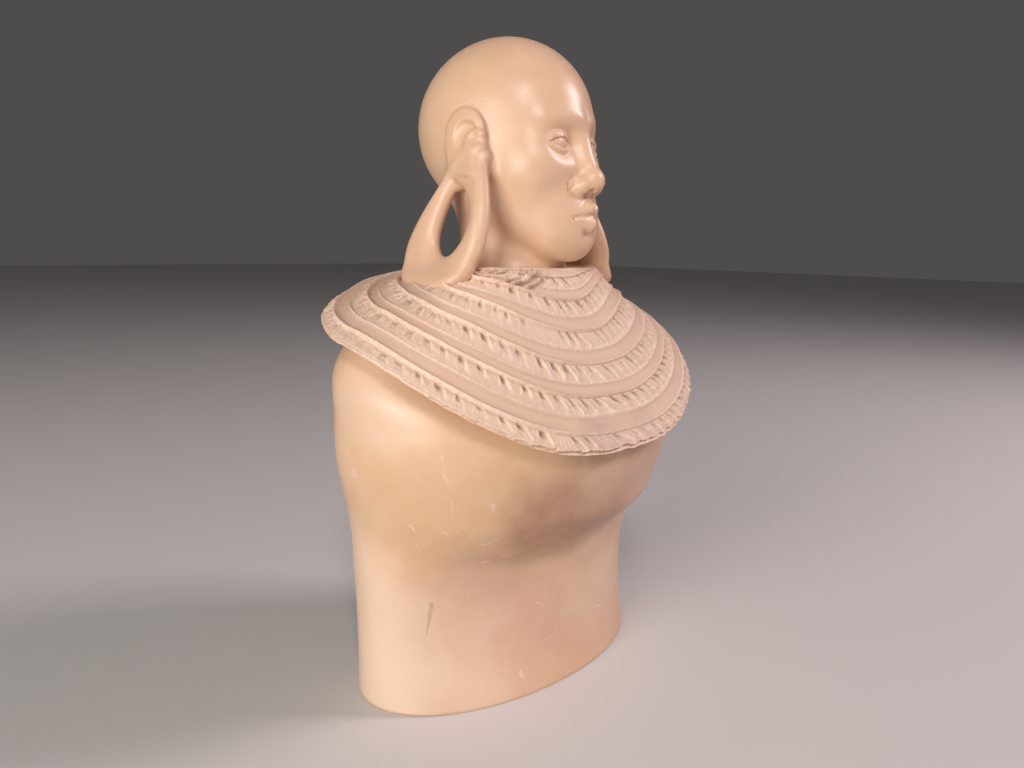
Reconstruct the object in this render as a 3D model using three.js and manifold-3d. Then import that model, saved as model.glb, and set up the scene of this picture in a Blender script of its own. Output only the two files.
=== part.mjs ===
// A bust carved from one block of soapstone: a bald head with stretched ear lobes, a broad
// collar of plain and notched bands, and an armless torso that stands on its flat oval underside.
// Millimetres, +Z up. The figure faces -Y and its right side is at -X. The origin is the middle
// of the underside.

import * as THREE from 'three';
import { mergeVertices } from 'three/addons/utils/BufferGeometryUtils.js';
import Module from 'manifold-3d';

// Whole figure
const TOTAL_HEIGHT = 150;
const HEAD_HEIGHT = 50.6;
const STONE_COLOUR = 0xd8bfa4;

// Torso: half width, front depth and back depth at some heights, and how square its ovals are
const TORSO_POWER = 2.05;
const TORSO_STATIONS = [
  { height: 0, width: 41.0, front: 22.8, back: 22.6 },
  { height: 16, width: 41.0, front: 19.2, back: 22.8 },
  { height: 31, width: 41.8, front: 20.2, back: 23.4 },
  { height: 39, width: 42.2, front: 25.8, back: 23.6 },
  { height: 46, width: 43.4, front: 31.0, back: 24.0 },
  { height: 56, width: 45.6, front: 35.2, back: 24.4 },
  { height: 66, width: 46.0, front: 35.6, back: 24.4 },
  { height: 76, width: 45.6, front: 30.0, back: 23.4 },
  { height: 88, width: 36.0, front: 15.0, back: 13.0 },
];
const FOOT_ROUNDING = 1.2;

// The shoulders rise to the back under the collar, from this height up
const SHOULDER_RISE = { slope: 0.34, from: 60 };
const TORSO_RINGS = 11;
const TORSO_SIDES = 40;

// Collar: the oval round the neck, the oval of the rim, and the rim's rise from chest to shoulders
const COLLAR_INNER = { width: 18.2, front: 6.8, back: 19.5, height: 98.3, shift: -10.5 };
const COLLAR_RIM = { width: 47.3, front: 38.8, back: 23.5 };
const COLLAR_POWER = 2.56;
const RIM_HEIGHT = { middle: 81.4, backward: 16.4, sides: 2.6, corners: -1.0 };
const COLLAR_FALL = { front: 0.9, sides: 0.48 };
const COLLAR_SAG = { sides: -1.9, left: -1.06 };

// The collar's left side swells near the rim and sinks near the neck, and its rear corners drop
const COLLAR_LEFT = { outer: 25.0, inner: -11.4 };
const COLLAR_REAR = -3.1;
const COLLAR_THICKNESS = 2.6;
const COLLAR_SIDES = 120;

// Underside of the collar: the ring where it meets the torso and the bevel below the rim
const COLLAR_ROOT = { share: 0.8, drop: 4.5, middleDrop: 14 };
const RIM_BEVEL = { share: 0.975, face: 0.75 };

// Notched bands, as shares of the way from neck to rim: outer and inner edge and count of notches
const NOTCHED_BANDS = [
  { outer: 1, inner: 0.915, notches: 60 },
  { outer: 0.8, inner: 0.708, notches: 60 },
  { outer: 0.625, inner: 0.525, notches: 60 },
  { outer: 0.43, inner: 0.335, notches: 40 },
  { outer: 0.245, inner: 0.16, notches: 40 },
];
const NECK_BAND = { share: 0.09, notches: 30 };
const LIP_RISE = 0.8;
const NOTCH_DEPTH = 0.8;
const SCALLOP = 0.45;

// The bands move inwards at the back and at the left, and the notches crowd towards the front
const BAND_DRIFT = { back: -0.5, left: -2.4, leftWithin: 0.6 };
const FRONT_CROWDING = 0.2;

// Neck
const NECK = { radius: 12.4, baseY: -4.0, topY: 0.5, bottom: 88, top: 116, flare: 2.2, narrowest: 0.55 };
const NECK_SIDES = 20;
const NECK_RINGS = 3;

// Head: turned to the figure's left, chin a little raised
const HEAD_TURN = THREE.MathUtils.degToRad(12);
const HEAD_RAISE = THREE.MathUtils.degToRad(2);
const HEAD_CENTRE = new THREE.Vector3(0, -1.5, TOTAL_HEIGHT - HEAD_HEIGHT / 2);
const HEAD_SIDES = 34;
const HEAD_RINGS = 26;

// The head's facets are drawn together towards the face, and its radius is searched between these
const FACE_CROWDING = { sideways: 0.45, upright: 0.16 };
const HEAD_SEARCH = { near: 4, far: 40, halvings: 24 };

// Forms that the head is blended from, measured from the middle of the head with -Y forward. An
// oval has a centre and radii, a limb runs from one point to another with a radius at each end.
// Those marked both are made on the two sides, and those marked cut are taken away.
const HEAD_FORMS = [
  { at: [0, 2.4, 5.3], size: [17.6, 21.6, 20.0], blend: 0 },
  { at: [0, -5.2, -7.6], size: [13.8, 13.2, 16.2], blend: 7 },
  { from: [9.6, -0.5, -9.5], to: [4.6, -13.2, -19.6], radii: [4.2, 4.5], blend: 7, both: true },
  { at: [0, -15.2, -20.8], size: [5.0, 4.6, 4.5], blend: 3.5 },
  { at: [8.4, -10.6, -5.2], size: [5.4, 5.4, 4.8], blend: 6, both: true },
  { from: [2.2, -16.4, 4.0], to: [8.6, -13.4, 4.2], radii: [1.6, 1.2], blend: 5, both: true },
  { at: [0, -14.2, -14.9], size: [8.0, 5.9, 6.2], blend: 4.5 },
  { at: [6.4, -21.4, -0.2], size: [5.2, 4.6, 3.3], blend: 2.6, both: true, cut: true },
  { from: [0, -16.7, 3.2], to: [0, -20.7, -7.0], radii: [1.7, 2.2], blend: 2.6 },
  { at: [0, -21.2, -8.2], size: [2.6, 2.5, 2.4], blend: 1.6 },
  { at: [2.7, -19.3, -9.2], size: [1.9, 2.5, 1.8], blend: 1.3, both: true },
  { at: [0, -22.3, -19.5], size: [3.6, 2.4, 1.1], blend: 1.6, cut: true },
  { at: [6.4, -13.4, -0.2], size: [4.5, 4.5, 3.6], blend: 0.6, both: true },
  { from: [0.6, -19.6, -14.2], to: [5.0, -18.2, -15.2], radii: [1.4, 0.6], blend: 0.8, both: true },
  { from: [0, -19.4, -17.1], to: [4.6, -18.0, -16.2], radii: [1.6, 0.6], blend: 0.8, both: true },
];

// Ears: centre, half sizes and the width and rise of the rim, in the head's own directions
const EAR = { x: 16.8, y: 0.6, z: 1.6, halfLength: 5.4, halfHeight: 6.1, rimWidth: 1.9, rise: 1.5 };
const LOBE = { x: 17.0, y: 1.0, z: -3.0, halfLength: 5.3, halfHeight: 6.6, halfThickness: 1.8 };

// Loops of the stretched lobes: outline and hole seen from the side, and the slab they are cut from
const LOOP_OUTLINE = {
  middle: 109.2, halfHeight: 15.8, reach: 18.4, taper: 0.72, power: 0.8, shift: 0, tip: 0,
};
const LOOP_HOLE = {
  middle: 109.0, halfHeight: 8.4, reach: 5.6, taper: 0.69, power: 2.4, shift: -1.4, tip: 4.4,
};
const LOOP = { topX: 16.1, bottomX: 23.9, bottomY: -1.0, behindEar: -2.8, thickness: 4.2, squareness: 0.7 };
const LOOP_TUBE_SIDES = 8;
const LOOP_STEPS = 22;
const EAR_TUBE_SIDES = 6;
const EAR_STEPS = 18;

const wasm = await Module();
wasm.setup();

// Helpers

function toManifold(geometry) {
  const bare = geometry.clone();
  bare.deleteAttribute('normal');
  bare.deleteAttribute('uv');
  const merged = mergeVertices(bare, 1e-4);
  const mesh = new wasm.Mesh({
    numProp: 3,
    vertProperties: new Float32Array(merged.attributes.position.array),
    triVerts: new Uint32Array(merged.index.array),
  });
  return new wasm.Manifold(mesh);
}

function toGeometry(solid) {
  const { vertProperties, triVerts } = solid.getMesh();
  const geometry = new THREE.BufferGeometry();
  geometry.setAttribute('position', new THREE.BufferAttribute(new Float32Array(vertProperties), 3));
  geometry.setIndex(new THREE.BufferAttribute(new Uint32Array(triVerts), 1));
  return geometry;
}

function moveVertices(geometry, move) {
  const place = geometry.attributes.position;
  const point = new THREE.Vector3();
  for (let i = 0; i < place.count; i += 1) {
    point.fromBufferAttribute(place, i);
    move(point);
    place.setXYZ(i, point.x, point.y, point.z);
  }
  return geometry;
}

function oval(angle, width, front, back, power) {
  const across = Math.cos(angle);
  const along = Math.sin(angle);
  return {
    x: width * Math.sign(across) * Math.abs(across) ** (2 / power),
    y: (along < 0 ? front : back) * Math.sign(along) * Math.abs(along) ** (2 / power),
  };
}

// A lathe about Z whose vertices are then moved: the profile's x is a share of the form's size
function turned(profile, sides, move) {
  const points = profile.map(([share, height]) => new THREE.Vector2(share, height));
  const geometry = new THREE.LatheGeometry(points, sides).rotateX(Math.PI / 2);
  const turn = 2 * Math.PI / sides;
  return moveVertices(geometry, (point) => {
    const share = Math.hypot(point.x, point.y);
    const step = Math.round(Math.atan2(point.y, point.x) / turn);
    move(point, share, step * turn, (step + sides) % sides);
  });
}

// Torso

const torsoCurve = new THREE.CubicInterpolant(
  TORSO_STATIONS.map((station) => station.height),
  TORSO_STATIONS.flatMap((station) => [station.width, station.front, station.back]),
  3,
);

function makeTorso() {
  const top = TORSO_STATIONS.at(-1).height;
  const profile = [[0, 0], [0.97, 0], [0.99, 0.3 * FOOT_ROUNDING]];
  for (let ring = 0; ring <= TORSO_RINGS; ring += 1) {
    profile.push([1, FOOT_ROUNDING + (top - FOOT_ROUNDING) * ring / TORSO_RINGS]);
  }
  profile.push([0, top]);
  return turned(profile, TORSO_SIDES, (point, share, angle) => {
    const [width, front, back] = torsoCurve.evaluate(point.z);
    const edge = oval(angle, width, front, back, TORSO_POWER);
    const risen = THREE.MathUtils.smoothstep(point.z, SHOULDER_RISE.from, top);
    point.x = edge.x * share;
    point.y = edge.y * share;
    point.z += SHOULDER_RISE.slope * risen * point.y;
  });
}

// Collar

function collarPoint(angle, share, target) {
  const inner = oval(angle, COLLAR_INNER.width, COLLAR_INNER.front, COLLAR_INNER.back, 2);
  const rim = oval(angle, COLLAR_RIM.width, COLLAR_RIM.front, COLLAR_RIM.back, COLLAR_POWER);
  const rimHeight = RIM_HEIGHT.middle + RIM_HEIGHT.backward * Math.sin(angle)
    + RIM_HEIGHT.sides * Math.cos(2 * angle) + RIM_HEIGHT.corners * Math.sin(3 * angle);
  const sideways = Math.cos(angle) ** 2;
  const fall = Math.abs(share) ** (COLLAR_FALL.front + COLLAR_FALL.sides * sideways);
  const between = share * (1 - share);
  const leftward = Math.max(Math.cos(angle), 0) ** 2;
  const rearward = Math.max(Math.sin(angle), 0) * sideways;
  const sag = 4 * between * (COLLAR_SAG.sides * sideways + COLLAR_SAG.left * Math.cos(angle))
    + leftward * between * (COLLAR_LEFT.outer * share + COLLAR_LEFT.inner)
    + COLLAR_REAR * rearward * share ** 2;
  const innerY = inner.y + COLLAR_INNER.shift;
  return target.set(
    inner.x + (rim.x - inner.x) * share,
    innerY + (rim.y - innerY) * share,
    COLLAR_INNER.height + (rimHeight - COLLAR_INNER.height) * fall + sag,
  );
}

function collarNormal(angle, share) {
  const step = 0.02;
  const ahead = collarPoint(angle, share + step, new THREE.Vector3());
  const behind = collarPoint(angle, share - step, new THREE.Vector3());
  const left = collarPoint(angle + step, share, new THREE.Vector3());
  const right = collarPoint(angle - step, share, new THREE.Vector3());
  return ahead.sub(behind).cross(left.sub(right)).normalize();
}

// Where a band's edge runs at an angle round the neck
function drifted(angle, share) {
  const back = THREE.MathUtils.smoothstep(Math.sin(angle), -0.35, 0.3);
  const left = THREE.MathUtils.smoothstep(Math.cos(angle), 0.05, 0.75);
  const within = Math.max(BAND_DRIFT.leftWithin - share, 0);
  return share * (1 + BAND_DRIFT.back * (1 - share) ** 2 * back + BAND_DRIFT.left * within ** 2 * left);
}

function makeCollar() {
  // Each ring: share of the way to the rim, rise over the surface, and its band's notches
  const rings = [];
  for (const { outer, inner, notches } of NOTCHED_BANDS) {
    if (outer < 1) rings.push({ share: outer, rise: 0 });
    rings.push({ share: (outer + inner) / 2, rise: 0, notches });
    rings.push({ share: inner, rise: LIP_RISE });
  }
  rings.push({ share: NECK_BAND.share, rise: 0, notches: NECK_BAND.notches });
  const { notches } = NOTCHED_BANDS[0];
  const rim = [
    { share: COLLAR_ROOT.share, rise: -COLLAR_ROOT.drop },
    { share: RIM_BEVEL.share, rise: -COLLAR_THICKNESS },
    { share: 1, rise: -RIM_BEVEL.face * COLLAR_THICKNESS, notches, scalloped: true },
    { share: 1, rise: 0, notches, scalloped: true },
  ];
  const all = [...rim, ...rings];
  const profile = [[0, -1], ...all.map((ring, index) => [1, index]), [0, all.length]];
  const normals = new Map();
  const first = all[0];
  const last = all.at(-1);
  return turned(profile, COLLAR_SIDES, (point, radius, even, step) => {
    if (radius < 0.5) {
      const lowest = RIM_HEIGHT.middle - COLLAR_ROOT.middleDrop;
      point.set(0, COLLAR_INNER.shift / 2, point.z < 0 ? lowest : COLLAR_INNER.height);
      return;
    }
    const ring = all[Math.round(point.z)];
    const angle = even - FRONT_CROWDING * Math.cos(even);
    const key = `${step} ${ring.share}`;
    if (!normals.has(key)) normals.set(key, collarNormal(angle, ring.share));
    const every = ring.notches ? COLLAR_SIDES / ring.notches : 1;
    const cut = ring.notches && step % every === 0;
    let rise = ring.rise;
    let share = drifted(angle, ring.share);
    if (cut && !ring.scalloped) rise -= NOTCH_DEPTH;
    if (cut && ring.scalloped) share -= SCALLOP / COLLAR_RIM.width;
    collarPoint(angle, share, point);
    if (ring !== first && ring !== last) point.addScaledVector(normals.get(key), rise);
    if (ring === first) point.z += rise;
  });
}

// Neck

function makeNeck() {
  const geometry = new THREE.CylinderGeometry(1, 1, 1, NECK_SIDES, NECK_RINGS).rotateX(Math.PI / 2);
  return moveVertices(geometry, (point) => {
    const up = point.z + 0.5;
    const radius = NECK.radius + NECK.flare * (2 * (up - NECK.narrowest)) ** 2;
    point.x *= radius;
    point.y = point.y * radius + NECK.baseY + (NECK.topY - NECK.baseY) * up;
    point.z = NECK.bottom + (NECK.top - NECK.bottom) * up;
  });
}

// Head

function ovalDistance({ at, size }, x, y, z) {
  const dx = (x - at[0]) / size[0];
  const dy = (y - at[1]) / size[1];
  const dz = (z - at[2]) / size[2];
  const length = Math.hypot(dx, dy, dz);
  const slope = Math.hypot(dx / size[0], dy / size[1], dz / size[2]);
  return slope > 1e-6 ? length * (length - 1) / slope : -Math.min(...size);
}

function limbDistance({ from, to, radii }, x, y, z) {
  const way = to.map((value, axis) => value - from[axis]);
  const apart = [x - from[0], y - from[1], z - from[2]];
  const along = (apart[0] * way[0] + apart[1] * way[1] + apart[2] * way[2])
    / (way[0] ** 2 + way[1] ** 2 + way[2] ** 2);
  const share = THREE.MathUtils.clamp(along, 0, 1);
  const off = apart.map((value, axis) => value - share * way[axis]);
  return Math.hypot(...off) - THREE.MathUtils.lerp(...radii, share);
}

function smoothMinimum(a, b, blend) {
  if (blend <= 0) return Math.min(a, b);
  const mix = Math.max(blend - Math.abs(a - b), 0) / blend;
  return Math.min(a, b) - mix * mix * blend / 4;
}

// How far a point is outside the head
function headDistance(x, y, z) {
  let distance = Infinity;
  for (const form of HEAD_FORMS) {
    const across = form.both ? Math.abs(x) : x;
    const apart = form.at ? ovalDistance(form, across, y, z) : limbDistance(form, across, y, z);
    if (form.cut) distance = -smoothMinimum(-distance, apart, form.blend);
    else distance = smoothMinimum(distance, apart, form.blend);
  }
  return distance;
}

function makeHead() {
  const geometry = new THREE.SphereGeometry(1, HEAD_SIDES, HEAD_RINGS).rotateX(Math.PI / 2);
  return moveVertices(geometry, (point) => {
    const lean = Math.acos(THREE.MathUtils.clamp(point.z, -1, 1));
    const around = Math.atan2(point.x, -point.y);
    const tighter = around - FACE_CROWDING.sideways * Math.sin(around);
    const lower = lean - FACE_CROWDING.upright * Math.sin(2 * lean);
    point.set(Math.sin(lower) * Math.sin(tighter), -Math.sin(lower) * Math.cos(tighter), Math.cos(lower));
    let { near, far } = HEAD_SEARCH;
    for (let i = 0; i < HEAD_SEARCH.halvings; i += 1) {
      const middle = (near + far) / 2;
      const inside = headDistance(point.x * middle, point.y * middle, point.z * middle) < 0;
      if (inside) near = middle; else far = middle;
    }
    point.multiplyScalar(near);
  });
}

function placeWithHead(geometry) {
  return geometry.rotateX(-HEAD_RAISE).rotateZ(HEAD_TURN)
    .translate(HEAD_CENTRE.x, HEAD_CENTRE.y, HEAD_CENTRE.z);
}

// Ears and lobe loops

const TUBE = 0.25;

// A ring about the side-to-side axis: shape gets its angle, how far out and how far across it is
function ringAcross(side, tubeSides, steps, shape) {
  const ring = new THREE.TorusGeometry(1, TUBE, tubeSides, steps);
  moveVertices(ring, (point) => {
    const around = Math.atan2(point.y, point.x);
    const out = (Math.hypot(point.x, point.y) - 1) / TUBE;
    shape(point, around, out, point.z / TUBE);
  });
  return side > 0 ? ring : flipped(ring);
}

function flipped(geometry) {
  const index = geometry.index.array;
  for (let i = 0; i < index.length; i += 3) [index[i], index[i + 1]] = [index[i + 1], index[i]];
  return geometry;
}

function makeEar(side) {
  const rim = ringAcross(side, EAR_TUBE_SIDES, EAR_STEPS, (point, around, out, across) => {
    const inset = (1 - out) * EAR.rimWidth / 2;
    point.set(
      side * (EAR.x + EAR.rise * across),
      EAR.y + (EAR.halfLength - inset) * Math.cos(around),
      EAR.z + (EAR.halfHeight - inset) * Math.sin(around),
    );
  });
  const shell = new THREE.SphereGeometry(1, 10, 6)
    .scale(EAR.rise, EAR.halfLength - EAR.rimWidth / 2, EAR.halfHeight - EAR.rimWidth / 2)
    .translate(side * (EAR.x - EAR.rise / 2), EAR.y, EAR.z);
  const lobe = new THREE.SphereGeometry(1, 10, 8)
    .scale(LOBE.halfThickness, LOBE.halfLength, LOBE.halfHeight)
    .translate(side * LOBE.x, LOBE.y, LOBE.z);
  return [rim, shell, lobe];
}

function loopPoint({ middle, halfHeight, reach, taper, power, shift, tip }, around) {
  const up = (Math.sin(around) + 1) / 2;
  return {
    y: shift + tip * up ** 4 + reach * (1 - taper * up ** power) * Math.cos(around),
    z: middle + halfHeight * Math.sin(around),
  };
}

function makeLoop(side) {
  const ear = new THREE.Vector3(side * EAR.x, EAR.y, 0)
    .applyAxisAngle(new THREE.Vector3(0, 0, 1), HEAD_TURN).add(HEAD_CENTRE);
  const bottom = LOOP_OUTLINE.middle - LOOP_OUTLINE.halfHeight;
  const squared = (value) => Math.sign(value) * Math.abs(value) ** LOOP.squareness;
  return ringAcross(side, LOOP_TUBE_SIDES, LOOP_STEPS, (point, around, out, across) => {
    const outline = loopPoint(LOOP_OUTLINE, around);
    const hole = loopPoint(LOOP_HOLE, around);
    const share = (1 + squared(out)) / 2;
    const z = THREE.MathUtils.lerp(hole.z, outline.z, share);
    const up = (z - bottom) / (2 * LOOP_OUTLINE.halfHeight);
    const middleX = THREE.MathUtils.lerp(LOOP.bottomX, LOOP.topX, up);
    const middleY = THREE.MathUtils.lerp(LOOP.bottomY, ear.y + LOOP.behindEar, up);
    point.set(
      side * (middleX + squared(across) * LOOP.thickness / 2),
      middleY + THREE.MathUtils.lerp(hole.y, outline.y, share),
      z,
    );
  });
}

// The parts are joined into one carved solid

function carve() {
  let solid = toManifold(makeTorso());
  const joined = [makeCollar(), makeNeck(), placeWithHead(makeHead())];
  for (const side of [-1, 1]) {
    joined.push(...makeEar(side).map(placeWithHead), makeLoop(side));
  }
  for (const geometry of joined) solid = solid.add(toManifold(geometry));
  return toGeometry(solid);
}

const stone = new THREE.MeshStandardMaterial({ color: STONE_COLOUR, roughness: 0.45, metalness: 0 });
const bust = new THREE.Mesh(carve(), stone);
bust.name = 'stone_bust';

const group = new THREE.Group();
group.add(bust);
export default group;
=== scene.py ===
"""Looks of the carved stone bust: one carved block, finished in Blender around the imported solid.

The forms are worked out in millimetres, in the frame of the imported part, and written to the mesh in
metres. +Z is up, the chest faces -Y and the figure's right side is at -X.
"""

import math

import bpy
import numpy as np
from bpy.props import FloatProperty, FloatVectorProperty, IntProperty, PointerProperty
from mathutils import Euler, Matrix, Vector


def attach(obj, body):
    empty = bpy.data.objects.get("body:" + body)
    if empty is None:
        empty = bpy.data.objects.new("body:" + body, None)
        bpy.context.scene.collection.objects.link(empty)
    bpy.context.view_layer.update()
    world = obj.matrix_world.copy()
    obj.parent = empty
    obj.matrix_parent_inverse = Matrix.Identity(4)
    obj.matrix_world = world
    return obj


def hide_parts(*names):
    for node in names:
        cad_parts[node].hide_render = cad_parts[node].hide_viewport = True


bl_info = {
    "name": "Carved Stone Bust",
    "version": (1, 0, 0),
    "blender": (4, 5, 0),
    "location": "View3D > Sidebar > Bust",
    "description": "Carves a soapstone bust with a banded collar and stretched ear lobes",
    "category": "Object",
}

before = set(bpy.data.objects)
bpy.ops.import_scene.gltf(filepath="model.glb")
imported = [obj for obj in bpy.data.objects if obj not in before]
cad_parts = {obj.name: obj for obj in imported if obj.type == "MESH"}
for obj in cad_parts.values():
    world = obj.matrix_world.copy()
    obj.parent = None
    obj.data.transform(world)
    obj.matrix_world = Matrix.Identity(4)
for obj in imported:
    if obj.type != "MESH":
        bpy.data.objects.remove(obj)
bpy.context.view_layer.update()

MM = 0.001
TURN = 2 * math.pi

# Whole figure
TOTAL_HEIGHT = 150.0
HEAD_HEIGHT = 50.6

# Torso: height, half width, front depth and back depth
TORSO_POWER = 2.05
TORSO_STATIONS = (
    (0, 41.0, 22.8, 22.6),
    (16, 41.0, 19.2, 22.8),
    (31, 41.8, 20.2, 23.4),
    (39, 42.2, 25.8, 23.6),
    (46, 43.4, 31.0, 24.0),
    (56, 45.6, 35.2, 24.4),
    (66, 46.0, 35.6, 24.4),
    (76, 45.6, 30.0, 23.4),
    (88, 36.0, 15.0, 13.0),
)
FOOT_ROUNDING, FOOT_INSET, FOOT_RINGS = 1.3, 0.026, 7
RING_STEP = {"plain": 0.85, "fine": 0.38, "fine_from": 27, "fine_to": 40, "last_gap": 0.9}
SHOULDER_SLOPE, SHOULDER_FROM = 0.34, 60.0
DENTS_DEPTH = 0.18

# Crease under the chest: angle and height of its middle, and how it runs out
CREASE = {
    "middle": 272, "reach": 50, "height": 33.0, "climb": 9.0, "depth": 1.9, "below": 3.0, "above": 3.2,
    "bulge": 1.7, "bulge_up": 9.0, "bulge_high": 4.6,
}

# Collar
COLLAR_INNER = {"width": 18.2, "front": 6.8, "back": 19.5, "height": 98.3, "shift": -10.5, "closes_at": -1.0}
COLLAR_RIM = {"width": 47.27, "front": 38.8, "back": 23.5}
COLLAR_POWER = 2.56
RIM_HEIGHT = {"middle": 81.4, "backward": 16.4, "sides": 2.6, "corners": -1.0}
COLLAR_FALL = {"front": 0.9, "sides": 0.48}
COLLAR_SAG = {"sides": -1.9, "left": -1.06}
COLLAR_LEFT = {"outer": 25.0, "inner": -11.4}
COLLAR_REAR = -3.1

# Underside of the collar: share of the way to the rim and drop
UNDERSIDE = ((0.985, -1.35), (0.965, -1.9), (0.93, -2.6), (0.89, -3.3), (0.82, -4.6), (0.5, -9), (-0.62, -14))

# Edge of the rim: share of the way to the rim and rise
RIM_EDGE = ((1.0, -0.35), (0.997, -0.85))

# Notched bands, as shares of the way from neck to rim: outer edge, inner edge and count of notches
NOTCHED_BANDS = (
    (1.0, 0.915, 63), (0.80, 0.708, 56), (0.625, 0.525, 51), (0.43, 0.335, 51), (0.245, 0.16, 36),
    (0.10, 0.04, 28),
)
FINE_BANDS = 3

# Rings across a notched band and across the plain band above it, as shares from outer to inner edge
NOTCH_STEPS = (0.015, 0.10, 0.20, 0.30, 0.40, 0.50, 0.60, 0.70, 0.79, 0.87, 0.935, 0.985)
PLAIN_STEPS = (0.03, 0.09, 0.15, 0.22, 0.38, 0.60, 0.77, 0.84, 0.90, 0.97)

# The bands move inwards at the back and at the left, and the notches crowd at the front, in degrees
BAND_DRIFT = {"back": -0.5, "left": -2.4, "left_within": 0.6}
CROWDED = {"more": 0.78, "from": 252, "to": 335, "ease": 9}

# Relief of the bands, in millimetres or as shares: away from the front, and the change at the front
RELIEF = {
    "ground": (0.06, 0.16), "cut": (1.0, -0.42), "burr": (0.20, 0.12), "burr_chalk": (0.8, 0.4),
    "floor": (0.10, 0.18), "hollow": (-0.15, 0.11), "outer_lip": (0.90, -0.42), "inner_lip": (0.62, -0.30),
    # Of these, gutter is the share of painted shade laid along the gutters at the bands' edges.
    "outer_width": (0.070, -0.020), "inner_width": (0.080, -0.025), "gutter": (0.25, -0.10),
}

# Gouges round the neck: angles from and to, in degrees, shares of the way to the rim, and depth
GOUGES = {"angles": (186, 204, 244, 268), "shares": (0.0, 0.02, 0.12, 0.17), "depth": 0.7}

# The rim's edge: how far chips, notches and burrs move it, in millimetres, and the collar's width for that
RIM_WEAR = {"chip": 0.40, "notch": 1.0, "burr": -0.15, "width": 38.0, "underside": 0.4}

# The steps of the collar's spin stand closer together on the side of this angle, in degrees
FINER_SIDE = {"angle": -134, "share": 0.42}

# Kinds of rings in the collar's section
FLOOR, BANDS, EDGE, UNDER = range(4)

# Head, from its middle, -Y forward
HEAD_CENTRE = np.array((0.0, -1.5, TOTAL_HEIGHT - HEAD_HEIGHT / 2))

# Forms of the head: how it is joined, its shape, where it is, its size, its blend, on both sides
HEAD_FORMS = (
    ("add", "oval", (0, 2.4, 5.3), (17.6, 21.6, 20.0), 0, False),
    ("add", "oval", (0, -5.2, -7.6), (13.8, 13.2, 16.2), 7, False),
    ("add", "limb", ((9.6, -0.5, -9.5), (4.6, -13.2, -19.6)), (4.2, 4.5), 7, True),
    ("add", "oval", (0, -15.2, -20.8), (5.0, 4.6, 4.5), 3.5, False),
    ("add", "oval", (8.4, -10.6, -5.2), (5.4, 5.4, 4.8), 6, True),
    ("add", "limb", ((2.2, -17.0, 4.2), (8.8, -13.9, 4.4)), (1.7, 1.3), 3.4, True),
    ("add", "oval", (0, -14.2, -14.9), (8.0, 5.9, 6.2), 4.5, False),
    ("cut", "oval", (6.5, -21.8, 0.2), (5.1, 5.1, 3.0), 4.0, True),
    ("add", "limb", ((0, -16.7, 3.2), (0, -20.7, -7.0)), (1.7, 2.2), 2.6, False),
    ("add", "oval", (0, -21.2, -8.2), (2.6, 2.5, 2.4), 1.6, False),
    ("add", "oval", (2.7, -19.3, -9.2), (1.9, 2.5, 1.8), 1.3, True),
    ("cut", "oval", (0, -22.3, -19.5), (3.6, 2.4, 1.1), 1.6, False),
)
FACE_DETAIL = (
    ("add", "limb", ((0.8, -20.3, -14.0), (5.2, -18.2, -15.4)), (1.55, 0.6), 0.8, True),
    ("add", "limb", ((0, -20.0, -17.3), (4.7, -18.2, -16.4)), (1.9, 0.7), 0.8, True),
    ("cut", "limb", ((0, -22.0, -15.6), (3.4, -20.9, -15.7)), (0.42, 0.38), 0.5, True),
    ("cut", "limb", ((3.4, -20.9, -15.7), (6.3, -18.3, -16.1)), (0.38, 0.26), 0.5, True),
    ("cut", "limb", ((0, -21.2, -11.4), (0, -21.9, -13.0)), (0.55, 0.7), 0.9, False),
    ("cut", "oval", (1.55, -21.4, -10.9), (0.95, 1.5, 1.3), 0.4, True),
    ("cut", "limb", ((4.9, -18.6, -8.0), (5.6, -17.3, -11.0)), (0.5, 0.3), 0.9, True),
)
EYE = {
    "at": (6.4, -13.3, -0.4), "radius": 4.2, "lid": 0.5, "lid_reach": 3.0,
    "half": 3.9, "up": 1.45, "low": 1.05,
}

# Boxes on both sides of the head whose faces are split, low and high corner from the head's middle
FACE_AND_EARS = (((0, -99, -20), (12.5, -11, 6)), ((14.5, -5.8, -5), (99, 7, 9)))
EYES_MOUTH_NOSE = (
    ((1.8, -99, -3.3), (11, -13, 3.1)),
    ((0, -99, -19), (7, -17, -12.2)),
    ((0, -99, -12.6), (4.6, -17, -7.6)),
)

# Ears, lobes and the loops of the stretched lobes
EAR = {
    "x": 16.8, "y": 0.6, "z": 1.6, "length": 5.4, "height": 6.1, "rise": 2.1, "dish": 0.9,
    "curl_turn": 0.35, "curl_opening": 0.65,
}
EAR_DETAIL = (
    ("cut", "oval", (3.0, -0.9, -0.3), (2.9, 3.5, 3.9), 0.3),
    ("add", "curl", (1.3, -3.6, -1.2), (1.75, 0.6), 0.5),
    ("add", "limb", ((1.3, -1.5, -3.2), (0.5, -5.6, -4.6)), (0.7, 0.5), 0.6),
    ("add", "limb", ((-1.2, -5.0, -5.0), (-3.4, -8.0, -11.0)), (1.0, 0.5), 1.4),
)
LOBE = {"at": (17.0, 1.0, -3.0), "size": (1.8, 5.3, 6.6)}
LOOP_OUTLINE = {
    "middle": 109.2, "height": 15.8, "reach": 18.4, "taper": 0.72, "power": 0.8, "shift": 0, "tip": 0,
}
LOOP_HOLE = {
    "middle": 109.0, "height": 8.4, "reach": 5.6, "taper": 0.69, "power": 2.4, "shift": -1.4, "tip": 4.4,
}
LOOP = {
    "top_x": 16.1, "bottom_x": 23.9, "bottom_y": -1.0, "behind_ear": -2.8,
    "foot": 0.3, "foot_ahead": 1.2, "foot_inside": 1.0, "foot_outside": 2.2,
    "foot_low": 94.0, "foot_top": 100.0, "edge": 3.4,
}
NECK = {"radius": 12.2, "base_y": -4.0, "top_y": 0.5, "bottom": 88.0, "above_bottom": 2.0, "top": 116.0}


# Sizes and colours that a user would change


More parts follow.
